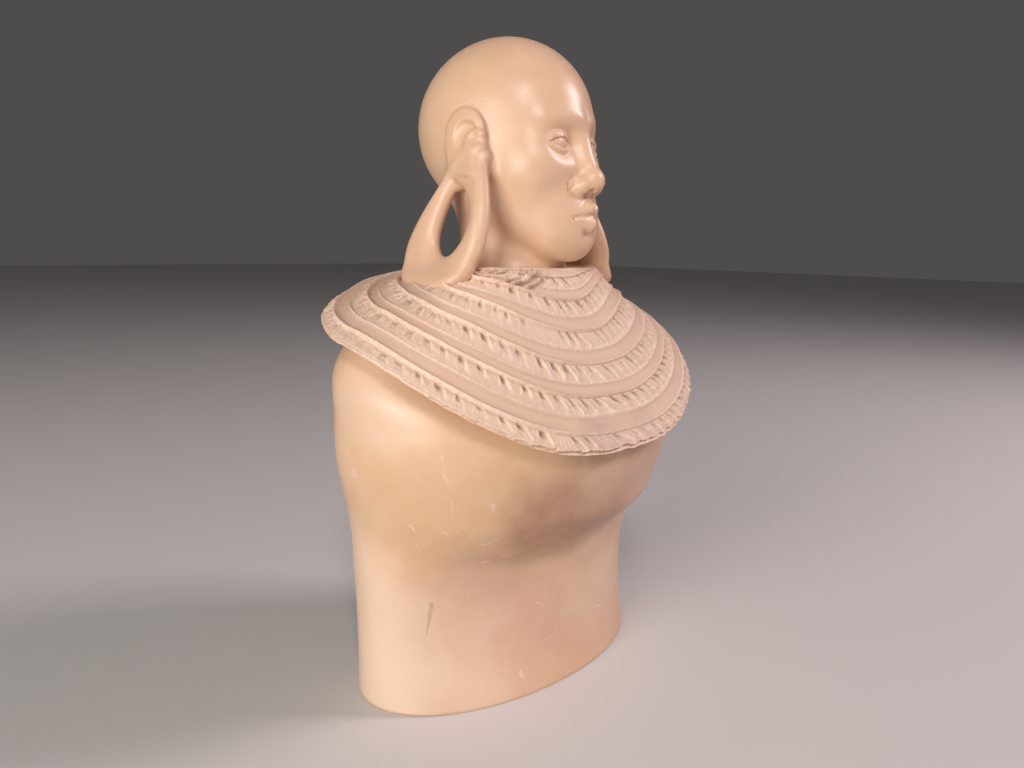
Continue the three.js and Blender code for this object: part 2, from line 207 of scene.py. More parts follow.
class CarvingSizes(bpy.types.PropertyGroup):
    notch_depth: FloatProperty(
        name="Notch depth", description="Depth of the gouged notches of the collar",
        default=0.95 * MM, unit="LENGTH",
    )
    lip_rise: FloatProperty(
        name="Lip rise", description="How far a plain band's outer edge stands over the notches",
        default=0.9 * MM, unit="LENGTH",
    )
    loop_thickness: FloatProperty(
        name="Loop thickness", description="Thickness of the stretched ear lobes, side to side",
        default=4.2 * MM, unit="LENGTH",
    )
    head_turn: FloatProperty(
        name="Head turn", description="Turn of the head to the figure's left",
        default=math.radians(12), subtype="ANGLE",
    )
    head_raise: FloatProperty(
        name="Head raise", description="How far the chin is raised",
        default=math.radians(2), subtype="ANGLE",
    )
    clay_size: FloatProperty(
        name="Clay grain", description="Face size the head is remeshed to",
        default=0.52 * MM, unit="LENGTH",
    )
    collar_steps: IntProperty(
        name="Collar steps", description="Steps of the collar's spin round the neck", default=800,
    )


class StoneFinish(bpy.types.PropertyGroup):
    cream: FloatVectorProperty(
        name="Cream stone", description="Main colour of the polished stone",
        default=(0.70, 0.46, 0.30), subtype="COLOR",
    )
    # Honey, rose and milk are clouds of the stone's own tone; their placed patches on the torso also paint
    # the warm light, the pink light and the brighter light on it.
    honey: FloatVectorProperty(
        name="Honey patches", description="Yellower clouds in the stone",
        default=(0.65, 0.41, 0.22), subtype="COLOR",
    )
    rose: FloatVectorProperty(
        name="Rose patches", description="Pinker clouds in the stone",
        default=(0.64, 0.38, 0.27), subtype="COLOR",
    )
    milk: FloatVectorProperty(
        name="Milky patches", description="Palest clouds in the stone",
        default=(0.80, 0.60, 0.45), subtype="COLOR",
    )
    bruised: FloatVectorProperty(
        name="Carved stone", description="Duller, greyer stone where it was carved",
        default=(0.64, 0.475, 0.385), subtype="COLOR",
    )
    # Chalky bruised stone on chips, burrs, scratches and marks; along the collar's ridges and band edges it
    # is also painted highlight.
    chalk_and_highlight: FloatVectorProperty(
        name="Chalk and highlight", description="Bruised stone on edges, chisel marks and scratches",
        default=(0.88, 0.70, 0.58), subtype="COLOR",
    )
    # Painted shade: this warm brown stands for the shade under the chest's overhang and the shadow the
    # collar's rim casts on the torso.
    umber: FloatVectorProperty(
        name="Painted shade", description="Warm brown film under the chest and the collar's rim",
        default=(0.36, 0.16, 0.10), subtype="COLOR",
    )
    # Dirt in the pores and dark marks; in the collar's notch pits, band gutters and neck gouges this colour
    # is dirt and painted shade.
    dirt_and_shade: FloatVectorProperty(
        name="Dirt and shade", description="Grime in the gouges and pores",
        default=(0.26, 0.16, 0.13), subtype="COLOR",
    )
    polish: FloatProperty(
        name="Polish", description="Roughness of the polished stone", default=0.36, min=0, max=1,
    )
    carved: FloatProperty(
        name="Carved", description="Roughness of the carved collar", default=0.62, min=0, max=1,
    )


class StudioSizes(bpy.types.PropertyGroup):
    floor_size: FloatProperty(
        name="Floor size", description="Width of the pale floor", default=6.0, unit="LENGTH",
    )
    floor_colour: FloatVectorProperty(
        name="Floor colour", description="Colour of the pale floor",
        default=(0.66, 0.645, 0.63), subtype="COLOR",
    )


# Small helpers


def sizes():
    return bpy.context.scene.bust_sizes


def only(*objects):
    """Deselects everything, then selects these objects and makes the first one active."""
    bpy.ops.object.select_all(action="DESELECT")
    for obj in objects:
        obj.select_set(True)
    bpy.context.view_layer.objects.active = objects[0]
    return objects[0]


def named_piece(name):
    piece = bpy.data.objects.get(name)
    if piece is None:
        raise RuntimeError(f"{name} is missing: run its operator first")
    return piece


def read_points(piece):
    """The piece's vertices in millimetres."""
    points = np.empty(len(piece.data.vertices) * 3, dtype=np.float64)
    piece.data.vertices.foreach_get("co", points)
    return points.reshape(-1, 3) / MM


def write_points(piece, points):
    piece.data.vertices.foreach_set("co", (points * MM).astype(np.float32).ravel())
    piece.data.update()


def keep_mask(piece, name, values):
    layer = piece.data.attributes.new(name, "FLOAT", "POINT")
    layer.data.foreach_set("value", values.astype(np.float32))


def edit_all():
    bpy.ops.object.mode_set(mode="EDIT")
    bpy.ops.mesh.select_all(action="SELECT")


def outward(piece):
    """Merges doubles and turns all faces outwards."""
    only(piece)
    edit_all()
    bpy.ops.mesh.remove_doubles(threshold=0.004 * MM)
    bpy.ops.mesh.normals_make_consistent(inside=False)
    bpy.ops.object.mode_set(mode="OBJECT")
    return piece


def smooth_step(value, low, high):
    t = np.clip((value - low) / (high - low), 0, 1)
    return t * t * (3 - 2 * t)


def span(value, start, full, easing, end):
    """Rises from 0 at start to 1 at full, and falls back to 0 from easing to end."""
    return smooth_step(value, start, full) * (1 - smooth_step(value, easing, end))


def hump(value, middle, reach):
    """1 at the middle, easing off to 0 on both sides."""
    return np.exp(-(((value - middle) / reach) ** 2))


def between(start, end, share):
    return start + (end - start) * share


def blend_min(a, b, width):
    if width <= 0:
        return np.minimum(a, b)
    mix = np.maximum(width - np.abs(a - b), 0) / width
    return np.minimum(a, b) - mix * mix * width / 4


def blend_max(a, b, width):
    return -blend_min(-a, -b, width)


def hand_waver(points, length, amount):
    """Slow unevenness of a surface worked by hand, the same on every run."""
    x, y, z = (points / length).T
    wave = np.sin(1.7 * x + 2.3 * y + 0.4) * np.sin(2.1 * z - 1.3 * x + 1.1)
    wave += 0.6 * np.sin(3.1 * y - 2.6 * z + 2.0) * np.sin(2.9 * x + 1.9 * z)
    wave += 0.4 * np.sin(4.7 * z + 3.3 * x - 0.7) * np.sin(4.1 * y + 0.3)
    return amount * wave / 2


def worn_dents(points):
    """Small dents and wrinkles where the stone was handled, low on the figure's right side."""
    wrinkled = hand_waver(points + 2.0 * hand_waver(points, 5.0, 1.0)[:, None], 1.1, 1.0)
    where = np.exp(-(((points[:, 2] - 24) / 16) ** 2)) * smooth_step(-points[:, 0], 5, 25)
    return -np.maximum(wrinkled - 0.35, 0) * (0.25 + where)


# Torso


def cubic_through(stations, height):
    """Smooth values through the stations: each slope is the mean of the two beside it."""
    table = np.array(stations, dtype=float)
    at, values = table[:, 0], table[:, 1:]
    beside = np.diff(values, axis=0) / np.diff(at)[:, None]
    slopes = np.vstack((beside[:1], (beside[:-1] + beside[1:]) / 2, beside[-1:]))
    i = np.clip(np.searchsorted(at, height, side="right") - 1, 0, len(at) - 2)
    gap = (at[i + 1] - at[i])[:, None]
    t = (height - at[i])[:, None] / gap
    start = (2 * t**3 - 3 * t**2 + 1) * values[i] + (t**3 - 2 * t**2 + t) * gap * slopes[i]
    end = (-2 * t**3 + 3 * t**2) * values[i + 1] + (t**3 - t**2) * gap * slopes[i + 1]
    return (start + end).T


def oval(angle, width, front, back, power):
    across, along = np.cos(angle), np.sin(angle)
    depth = np.where(along < 0, front, back)
    x = width * np.sign(across) * np.abs(across) ** (2 / power)
    y = depth * np.sign(along) * np.abs(along) ** (2 / power)
    return x, y


def torso_surface(angle, height, share=1.0):
    """Points of the torso by the angle round it and the height, with the crease under the chest."""
    width, front, back = cubic_through(TORSO_STATIONS, height)
    top = TORSO_STATIONS[-1][0]
    x, y = oval(angle, width, front, back, TORSO_POWER)
    points = np.column_stack((x * share, y * share, height))
    faced = np.degrees(np.mod(angle, TURN)) - CREASE["middle"]
    reach = hump(faced, 0, CREASE["reach"])
    off = height - CREASE["height"] - CREASE["climb"] * (faced / 90) ** 2
    under = hump(off, 0, np.where(off < 0, CREASE["below"], CREASE["above"]))
    swell = hand_waver(points, 15.0, 0.14) * smooth_step(height, 1.5, 9) - 0.14
    swell += reach * CREASE["bulge"] * hump(off, CREASE["bulge_up"], CREASE["bulge_high"])
    swell -= reach * CREASE["depth"] * under
    swell += DENTS_DEPTH * worn_dents(points) * smooth_step(height, 0.8, 3)
    points[:, 0] += swell * np.cos(angle)
    points[:, 1] += swell * np.sin(angle)
    points[:, 2] += SHOULDER_SLOPE * smooth_step(height, SHOULDER_FROM, top) * points[:, 1]
    return points


def torso_rings():
    """Height and share of the outline for each ring, the foot's rounding first."""
    rings = []
    for lean in np.linspace(0, math.pi / 2, FOOT_RINGS):
        rings.append((FOOT_ROUNDING * (1 - math.cos(lean)), 1 - FOOT_INSET * (1 - math.sin(lean))))
    height = FOOT_ROUNDING
    while height < TORSO_STATIONS[-1][0] - RING_STEP["last_gap"]:
        fine = RING_STEP["fine_from"] < height < RING_STEP["fine_to"]
        height += RING_STEP["fine" if fine else "plain"]
        rings.append((height, 1.0))
    rings.append((TORSO_STATIONS[-1][0], 1.0))
    return rings


class BUST_OT_torso(bpy.types.Operator):
    """Raises the torso from a filled ring, one extruded ring at a time"""

    bl_idname = "bust.torso"
    bl_label = "Torso"
    sides = 300

    def execute(self, context):
        bpy.ops.object.select_all(action="DESELECT")
        bpy.ops.mesh.primitive_circle_add(vertices=self.sides, radius=1.0, fill_type="NGON")
        piece = context.object
        piece.name = "bust_torso"
        rings = torso_rings()
        edit_all()
        for _ in rings[1:]:
            bpy.ops.mesh.extrude_region_move(TRANSFORM_OT_translate={"value": (0, 0, 1)})
        bpy.ops.object.mode_set(mode="OBJECT")
        unit = read_points(piece) * MM
        ring = np.rint(unit[:, 2]).astype(int)
        angle = np.arctan2(unit[:, 1], unit[:, 0])
        height, share = np.array(rings)[ring].T
        write_points(piece, torso_surface(angle, height, share))
        outward(piece)
        return {"FINISHED"}


# Collar


def collar_surface(angle, share):
    """Points of the collar's plain surface, by the angle round it and the share of neck to rim.

    Below 0 the share closes the floor towards a point inside the neck.
    """
    inner_x, inner_y = oval(angle, COLLAR_INNER["width"], COLLAR_INNER["front"], COLLAR_INNER["back"], 2)
    inner_y = inner_y + COLLAR_INNER["shift"]
    rim_x, rim_y = oval(angle, COLLAR_RIM["width"], COLLAR_RIM["front"], COLLAR_RIM["back"], COLLAR_POWER)
    rim_z = RIM_HEIGHT["middle"] + RIM_HEIGHT["backward"] * np.sin(angle)
    rim_z += RIM_HEIGHT["sides"] * np.cos(2 * angle) + RIM_HEIGHT["corners"] * np.sin(3 * angle)
    sideways = np.cos(angle) ** 2
    outwards, closing = np.maximum(share, 0), 1 + np.minimum(share, 0)
    fall = outwards ** (COLLAR_FALL["front"] + COLLAR_FALL["sides"] * sideways)
    sag = 4 * (COLLAR_SAG["sides"] * sideways + COLLAR_SAG["left"] * np.cos(angle))
    sag += np.maximum(np.cos(angle), 0) ** 2 * (COLLAR_LEFT["outer"] * share + COLLAR_LEFT["inner"])
    sag = sag * outwards * (1 - share)
    sag += COLLAR_REAR * np.maximum(np.sin(angle), 0) * sideways * outwards**2
    return np.column_stack((
        inner_x * closing + (rim_x - inner_x) * outwards,
        inner_y * closing + COLLAR_INNER["closes_at"] * (1 - closing) + (rim_y - inner_y) * outwards,
        COLLAR_INNER["height"] + (rim_z - COLLAR_INNER["height"]) * fall + sag,
    ))


def collar_normals(angle, share, step=0.01):
    out = collar_surface(angle, np.maximum(share, 2 * step) + step)
    out -= collar_surface(angle, np.maximum(share, 2 * step) - step)
    along = collar_surface(angle + step, share) - collar_surface(angle - step, share)
    normals = np.cross(out, along)
    return normals / np.linalg.norm(normals, axis=1, keepdims=True)


def chance(values, seed):
    """A repeatable value from 0 to 1 for each whole number."""
    raw = np.sin(values * 12.9898 + seed * 78.233) * 43758.5453
    return raw - np.floor(raw)


def drifted(angle, share):
    """Where a band's edge runs at an angle round the neck."""
    back = BAND_DRIFT["back"] * smooth_step(np.sin(angle), -0.35, 0.3)
    left = BAND_DRIFT["left"] * smooth_step(np.cos(angle), 0.05, 0.75)
    within = np.maximum(BAND_DRIFT["left_within"] - share, 0)
    inwards = back * np.maximum(1 - share, 0) ** 2 + left * within**2
    return share * (1 + inwards * (share > 0))


def crowded(angle):
    """1 where the notches crowd together, 0 where they are apart, and their count up to the angle."""
    faced = np.degrees(np.mod(angle, TURN))
    ease, reach = CROWDED["ease"], CROWDED["to"] - CROWDED["from"]
    start, stop = (faced - CROWDED["from"]) / ease, (faced - CROWDED["to"]) / ease
    front = (np.tanh(start) - np.tanh(stop)) / 2
    gained = ease / 2 * (np.logaddexp(start, -start) - np.logaddexp(stop, -stop)) + reach / 2
    return front, (faced + CROWDED["more"] * gained) / (360 + CROWDED["more"] * reach)


def notch_marks(angle, band, count, out):
    """Depth of the gouges, height of their burrs and light rays, 0 to 1. out is 0 at the inner edge."""
    front, turns = crowded(angle)
    slanted = turns * count - (0.30 + 0.30 * front) * out - 0.10 * front * np.sin(math.pi * out)
    number = np.floor(slanted)
    wrapped = np.mod(number, count) + 101 * band
    middle = 0.5 + 0.30 * (chance(wrapped, 1) - 0.5) - 0.36 * (chance(wrapped, 6) - 0.5) * out
    half = (0.18 + (0.17 - 0.02 * front) * out) * (0.75 + 0.6 * chance(wrapped, 2))
    off = slanted - number - middle
    inside = np.clip(1 - np.abs(off) / half, 0, 1)
    ends = 0.30 + 0.20 * chance(wrapped, 4) + 0.36 * front
    strong = (0.45 + 0.75 * chance(wrapped, 3)) * (chance(wrapped, 8) > 0.05)
    pit = 0.9 * inside**0.8 * span(out, 0.0, 0.10, 0.12, ends)
    fan = (0.22 + 0.2 * front) * inside**0.6 * span(out, 0.10, 0.30, ends + 0.05, ends + 0.45)
    burr = hump(off, half + 0.03, 0.075) + 0.4 * hump(off, -half, 0.06)
    burr = burr * span(out, 0.03, 0.22, ends + 0.1, ends + 0.4)
    rays = np.clip(np.cos(2.6 * math.pi * off / half), 0, 1) * (np.abs(off) < 1.7 * half)
    rays = rays * span(out, 0.14, 0.34, ends + 0.15, ends + 0.5) * (0.4 + 0.6 * chance(wrapped, 7))
    return np.clip(strong * (pit + fan), 0, 1.2), burr * strong, rays


def collar_relief(angle, band, count, notched, inward):
    """Rise over the plain surface in millimetres, and the masks for grime with painted shade and for chalky
    edges with painted highlight.

    inward runs from 0 at a band's outer edge to 1 at its inner edge.
    """
    front, turns = crowded(angle)
    here = {name: plain + change * front for name, (plain, change) in RELIEF.items()}
    depth, burr, rays = notch_marks(angle, band, count, 1 - inward)
    arch = np.sin(math.pi * inward)
    notched_rise = here["ground"] * arch**0.8 - here["cut"] * sizes().notch_depth / MM * depth
    notched_rise += here["burr"] * burr - 0.05 * rays
    notched_rise += hand_waver(np.column_stack((turns * 190, 3.8 * inward, 7 * band)), 0.9, 0.13)
    worn = 0.80 + 0.20 * np.sin(5 * angle + 2.1 * band) * np.sin(11 * angle + band)
    doubled = hump(inward, 0.27, 0.045) * smooth_step(np.sin(3 * angle + 1.9 * band), 0.1, 0.8)
    lips = here["outer_lip"] * hump(inward, 0.09, here["outer_width"])
    lips += here["inner_lip"] * hump(inward, 0.90, here["inner_width"])
    floor = here["floor"] + 0.16 * smooth_step(inward, 1.0, 0.0)
    plain_rise = floor + sizes().lip_rise / MM * worn * lips + 0.22 * doubled + here["hollow"] * arch
    plain_rise -= (0.05 + floor) * smooth_step(inward, 0.95, 1.0)
    plain_rise += 0.035 * np.sin(math.pi * 5.5 * inward + 3 * np.sin(2 * angle + band))
    # Painted shade along the gutters at the bands' edges.
    gutter = here["gutter"] * (hump(inward, 0.20, 0.05) + hump(inward, 0.79, 0.05))
    # Grime and painted shade: dark in the notch pits and along the gutters.
    grime_and_shade = np.where(notched, depth * smooth_step(1 - inward, 0.7, 0.1), gutter)
    # Chalky edges, also painted highlight along the ridges and band edges.
    notch_edges = 0.14 + 0.9 * worn * (hump(inward, 0, 0.06) + hump(inward, 1, 0.05))
    notch_edges += here["burr_chalk"] * burr + 0.8 * rays
    plain_edges = worn * (1.5 * hump(inward, 0.05, 0.10) + 1.4 * hump(inward, 0.94, 0.08) + 0.8 * doubled)
    chalk_and_highlight = np.where(notched, notch_edges, plain_edges)
    return np.where(notched, notched_rise, plain_rise), np.clip(grime_and_shade, 0, 1), np.clip(chalk_and_highlight, 0, 1)


def neck_gouges(angle, share):
    """Rough slanted gouges where the chisel ran round the neck, under the figure's right ear."""
    faced = np.degrees(np.mod(angle, TURN))
    where = span(faced, *GOUGES["angles"]) * span(share, *GOUGES["shares"])
    strokes = np.column_stack((faced * 0.20 + share * 42, faced * 0.03, share * 9))
    return where * np.clip(hand_waver(strokes, 1.0, 2.2) + 0.1, 0, 1)


def rim_wear(angle):
    """How far the rim's edge is worn back, as a share of the way to it, and its chips, 0 to 1."""
    count = np.full(len(angle), NOTCHED_BANDS[0][2])
    depth, burr, _ = notch_marks(angle, 0 * angle, count, np.full(len(angle), 0.6))
    chips = chance(np.floor(2.3 * crowded(angle)[1] * count), 5)
    worn = RIM_WEAR["notch"] * depth + RIM_WEAR["chip"] * chips + RIM_WEAR["burr"] * burr
    return worn / RIM_WEAR["width"], chips


def collar_section():
    """The rings of the closed section: share, kind, extra rise, band, count, notched or not, inward."""
    rows = [(share, FLOOR, 0, 0, 1, 0, 0) for share in (-0.62, -0.2, 0.0)]
    for band in reversed(range(len(NOTCHED_BANDS))):
        outer, inner, count = NOTCHED_BANDS[band]
        last = band == len(NOTCHED_BANDS) - 1
        plain_inner = 0.0 if last else NOTCHED_BANDS[band + 1][0]
        for step in reversed(PLAIN_STEPS[::3] if last else PLAIN_STEPS):
            rows.append((between(inner, plain_inner, step), BANDS, 0, band, count, 0, step))
        for step in reversed(NOTCH_STEPS if band < FINE_BANDS else NOTCH_STEPS[::2]):
            rows.append((between(outer, inner, step), BANDS, 0, band, count, 1, step))
    rows += [(share, EDGE, extra, 0, 1, 0, 0) for share, extra in RIM_EDGE]
    rows += [(share, UNDER, extra, 0, 1, 0, 0) for share, extra in UNDERSIDE]
    return np.array(rows)


class BUST_OT_collar(bpy.types.Operator):
    """Spins the collar's closed section round the neck and cuts its bands and notches"""

    bl_idname = "bust.collar"
    bl_label = "Collar"

    def execute(self, context):
        section = collar_section()
        bpy.ops.object.select_all(action="DESELECT")
        bpy.ops.mesh.primitive_circle_add(vertices=len(section), radius=1.0)
        piece = context.object
        piece.name = "bust_collar"
        row = np.arange(len(section), dtype=float)
        write_points(piece, np.column_stack((np.ones_like(row), np.zeros_like(row), row)) / MM)
        edit_all()
        bpy.ops.mesh.spin(
            steps=sizes().collar_steps, angle=TURN, center=(0, 0, 0), axis=(0, 0, 1), use_auto_merge=True,
        )
        bpy.ops.object.mode_set(mode="OBJECT")
        unit = read_points(piece) * MM
        ring = np.rint(unit[:, 2]).astype(int)
        even = np.arctan2(unit[:, 1], unit[:, 0])
        angle = even - FINER_SIDE["share"] * np.sin(even - math.radians(FINER_SIDE["angle"]))
        share, kind, extra, band, count, notched, inward = section[ring].T
        rise, grime_and_shade, chalk_and_highlight = collar_relief(angle, band, count, notched > 0, inward)
        gouges = neck_gouges(angle, share)
        rise -= GOUGES["depth"] * gouges
        worn, chips = rim_wear(angle)
        worn *= smooth_step(share, 0.965, 0.99) * np.where(kind == UNDER, RIM_WEAR["underside"], 1.0)
        share = drifted(angle, share) - worn
        points = collar_surface(angle, share)
        lift = np.select((kind == BANDS, kind == EDGE), (rise, extra), 0.0)
        points += collar_normals(angle, np.clip(share, 0.02, 1)) * lift[:, None]
        points[:, 2] += np.where(kind == UNDER, extra, 0.0)
        write_points(piece, points)
        # Grime and painted shade in the pits, gutters and neck gouges; chalk, also painted highlight, on the
        # edges and chips.
        keep_mask(piece, "grime_and_shade", np.where(kind == BANDS, np.maximum(grime_and_shade, gouges), 0))
        keep_mask(piece, "chalk_and_highlight", np.select((kind == BANDS, kind == EDGE), (chalk_and_highlight, 0.5 + 0.5 * chips), 0.1))
        keep_mask(piece, "carved", np.where(kind == UNDER, 0.35, 1.0))
        outward(piece)
        return {"FINISHED"}


# Head, neck, ears and lobe loops, as one blended form


def oval_distance(points, at, size):
    gap = points - np.array(at, dtype=float)
    size = np.array(size, dtype=float)
    length = np.sqrt(((gap / size) ** 2).sum(axis=1))
    slope = np.sqrt(((gap / size**2) ** 2).sum(axis=1))
    return length * (length - 1) / np.maximum(slope, 1e-9)


def limb_distance(points, ends, radii):
    start, end = np.array(ends, dtype=float)
    way = end - start
    share = np.clip((points - start) @ way / (way @ way), 0, 1)
    gap = points - start - share[:, None] * way
    return np.linalg.norm(gap, axis=1) - (radii[0] + (radii[1] - radii[0]) * share)


def joined(distance, apart, join, width):
    """Adds a form to what is there, or cuts it away."""
    return blend_min(distance, apart, width) if join == "add" else blend_max(distance, -apart, width)


def mirrored(points):
    folded = points.copy()
    folded[:, 0] = np.abs(folded[:, 0])
    return folded


def add_forms(distance, points, forms):
    folded = mirrored(points)
    for join, shape, at, size, width, both in forms:
        measure = oval_distance if shape == "oval" else limb_distance
        distance = joined(distance, measure(folded if both else points, at, size), join, width)
    return distance


def eye_distance(distance, points):
    gap = mirrored(points) - np.array(EYE["at"])
    away = np.linalg.norm(gap * np.array((0.94, 1, 1)), axis=1)
    distance = blend_min(distance, away - EYE["radius"], 0.5)
    along = gap[:, 0] / EYE["half"]
    level = gap[:, 2] - 0.05 * gap[:, 0]
    opening = np.maximum(level - EYE["up"] * (1 - along**2), -level - EYE["low"] * (1 - along**2))
    lids = blend_max(away - EYE["radius"] - EYE["lid"], -opening, 0.3)
    lids = blend_max(lids, np.abs(gap[:, 2]) - EYE["lid_reach"], 0.8)
    return blend_min(distance, lids, 0.35)


def curl_distance(points, at, size):
    """Distance from the curl before the ear's opening: an open ring of its radius and thickness."""
    gap = points - at
    ring = np.hypot(gap[:, 1], gap[:, 2]) - size[0]
    opening = np.abs(np.arctan2(gap[:, 2], -gap[:, 1]) + EAR["curl_turn"])
    apart = np.hypot(ring, 0.7 * gap[:, 0]) - size[1]
    return blend_max(apart, 1.2 * (EAR["curl_opening"] - opening), 0.8)


def ear_distance(distance, points):
    """The dished plate of the ear, its hollow and the curl at its front, on the side of positive x."""
    at = np.array((EAR["x"], EAR["y"], EAR["z"]))
    across, y, z = (points - at).T
    level = np.sqrt((y / EAR["length"]) ** 2 + (z / EAR["height"]) ** 2)
    slope = np.sqrt((y / EAR["length"] ** 2) ** 2 + (z / EAR["height"] ** 2) ** 2)
    outline = level * (level - 1) / np.maximum(slope, 1e-6)
    plate = blend_max(outline, across - EAR["rise"] + EAR["dish"] * level**2, 0.9)
    distance = blend_min(distance, np.maximum(plate, -across - 3), 0.5)
    measures = {"curl": curl_distance, "limb": limb_distance, "oval": oval_distance}
    for join, shape, place, size, width in EAR_DETAIL:
        distance = joined(distance, measures[shape](points, at + np.array(place), size), join, width)
    return blend_min(distance, oval_distance(points, LOBE["at"], LOBE["size"]), 1.8)


def teardrop(curve, z):
    """Middle and half width of a loop's curve at a height."""
    up = (np.clip((z - curve["middle"]) / curve["height"], -1, 1) + 1) / 2
    half = curve["reach"] * (1 - curve["taper"] * up ** curve["power"])
    return curve["shift"] + curve["tip"] * up**4, half


def loop_middle(side, z):
    """Middle of a loop's slab at a height, across and along. side is -1 for the figure's right."""
    bottom = LOOP_OUTLINE["middle"] - LOOP_OUTLINE["height"]
    up = np.clip((z - bottom) / (2 * LOOP_OUTLINE["height"]), -0.1, 1.05)
    ear_y = (head_turner() @ np.array((side * EAR["x"], EAR["y"], 0.0)) + HEAD_CENTRE)[1]
    x = side * between(LOOP["bottom_x"], LOOP["top_x"], up)
    return x, between(LOOP["bottom_y"], ear_y + LOOP["behind_ear"], up)


def loop_distance(points, side):
    """Distance from the slab of the loop on one side, with its foot on the collar."""
    y, z = points[:, 1], points[:, 2]
    middle_x, middle_y = loop_middle(side, z)

    def flat_distance(curve, step=0.05):
        def value(at_y, at_z):
            shift, half = teardrop(curve, at_z)
            rise = (at_z - curve["middle"]) / curve["height"]
            return ((at_y - middle_y - shift) / half) ** 2 + rise**2 - 1

        slope_y = (value(y + step, z) - value(y - step, z)) / (2 * step)
        slope_z = (value(y, z + step) - value(y, z - step)) / (2 * step)
        return value(y, z) / np.maximum(np.hypot(slope_y, slope_z), 0.05)

    foot = smooth_step(z, LOOP["foot_top"], LOOP["foot_low"])
    ahead = smooth_step(middle_y - y, -2.0, 6.0)
    outside = side * (points[:, 0] - middle_x)
    outline = flat_distance(LOOP_OUTLINE) - (LOOP["foot"] + LOOP["foot_ahead"] * ahead) * foot
    flat = blend_max(outline, -flat_distance(LOOP_HOLE), 0.4)
    flare = between(LOOP["foot_inside"], LOOP["foot_outside"], smooth_step(outside, -3.0, 3.0))
    across = np.abs(outside) * 0.97 - sizes().loop_thickness / MM / 2 - flare * foot
    return blend_max(flat, across, LOOP["edge"]) - 0.12


def neck_distance(points):
    up = (points[:, 2] - NECK["bottom"]) / (NECK["top"] - NECK["bottom"])
    middle = between(NECK["base_y"], NECK["top_y"], up)
    flare = 1.2 * smooth_step(points[:, 2], 100.5, 95.0) + 1.6 * smooth_step(points[:, 2], 108, 116)
    round_neck = np.hypot(points[:, 0], points[:, 1] - middle) - NECK["radius"] - flare
    capped = np.maximum(round_neck, points[:, 2] - NECK["top"] - 3)
    return np.maximum(capped, NECK["bottom"] + NECK["above_bottom"] - points[:, 2])


def head_turner():
    """Turns points of the head's own directions into the figure's."""
    return np.array(Euler((-sizes().head_raise, 0, sizes().head_turn)).to_matrix())


def head_distance(points, detail=True):
    own = (points - HEAD_CENTRE) @ head_turner()
    distance = add_forms(np.full(len(points), 1e3), own, HEAD_FORMS)
    if detail:
        distance = eye_distance(distance, own)
        distance = add_forms(distance, own, FACE_DETAIL)
    distance = ear_distance(distance, mirrored(own))
    distance = blend_min(distance, neck_distance(points), 2.2)
    for side in (-1, 1):
        distance = blend_min(distance, loop_distance(points, side), 2.2)
    return distance


def settle(piece, rounds, detail=True, step=0.04):
    """Moves the piece's points along the slope until they lie on the head's surface."""
    points = read_points(piece)
    corners = step * np.array(((1, 1, 1), (1, -1, -1), (-1, 1, -1), (-1, -1, 1)))
    for _ in range(rounds):
        here = head_distance(points, detail)
        slope = sum(corner * head_distance(points + corner, detail)[:, None] for corner in corners)
        slope /= 4 * step**2
        move = np.clip(here / np.maximum((slope**2).sum(axis=1), 0.09), -1.0, 1.0)
        points = points - slope * move[:, None]
    write_points(piece, points)


def relax(piece, rounds):
    only(piece)
    edit_all()
    bpy.ops.mesh.vertices_smooth(factor=0.5, repeat=rounds)
    bpy.ops.object.mode_set(mode="OBJECT")


def split_within(piece, boxes):
    """Splits the faces all of whose corners are in one of the boxes or another."""
    only(piece)
    mesh = piece.data
    own = mirrored((read_points(piece) - HEAD_CENTRE) @ head_turner())
    chosen = np.any([((own >= low) & (own < high)).all(axis=1) for low, high in boxes], axis=0)
    bpy.ops.object.mode_set(mode="EDIT")
    bpy.ops.mesh.select_all(action="DESELECT")
    bpy.ops.object.mode_set(mode="OBJECT")
    loops = np.empty(len(mesh.loops), dtype=np.int64)
    mesh.loops.foreach_get("vertex_index", loops)
    starts = np.empty(len(mesh.polygons), dtype=np.int64)
    mesh.polygons.foreach_get("loop_start", starts)
    picked = np.minimum.reduceat(chosen[loops].astype(np.int8), starts).astype(bool)
    mesh.polygons.foreach_set("select", picked)
    mesh.update()
    bpy.ops.object.mode_set(mode="EDIT")
    bpy.ops.mesh.select_mode(type="FACE")
    bpy.ops.mesh.subdivide(number_cuts=1, ngon=False, quadcorner="INNERVERT")
    bpy.ops.mesh.select_mode(type="VERT")
    bpy.ops.object.mode_set(mode="OBJECT")


def clay_ball(at, size, both):
    """Clay for one form: a ball scaled to it, in the head's own directions, on one side or two."""
    lumps = []
    for side in (1, -1) if both else (1,):
        bpy.ops.mesh.primitive_uv_sphere_add(segments=32, ring_count=20, radius=1.0)
        lump = bpy.context.object
        points = read_points(lump) * MM * np.array(size, dtype=float)
        points += np.array(at, dtype=float) * np.array((side, 1, 1))
        write_points(lump, points @ head_turner().T + HEAD_CENTRE)
        lumps.append(lump)
    return lumps


def clay_limb(ends, radii, both):
    """Clay for a limb: a row of balls from one end to the other."""
    start, end = np.array(ends, dtype=float)
    lumps = []
    for share in (0, 0.33, 0.67, 1):
        lumps += clay_ball(between(start, end, share), (between(*radii, share),) * 3, both)
    return lumps


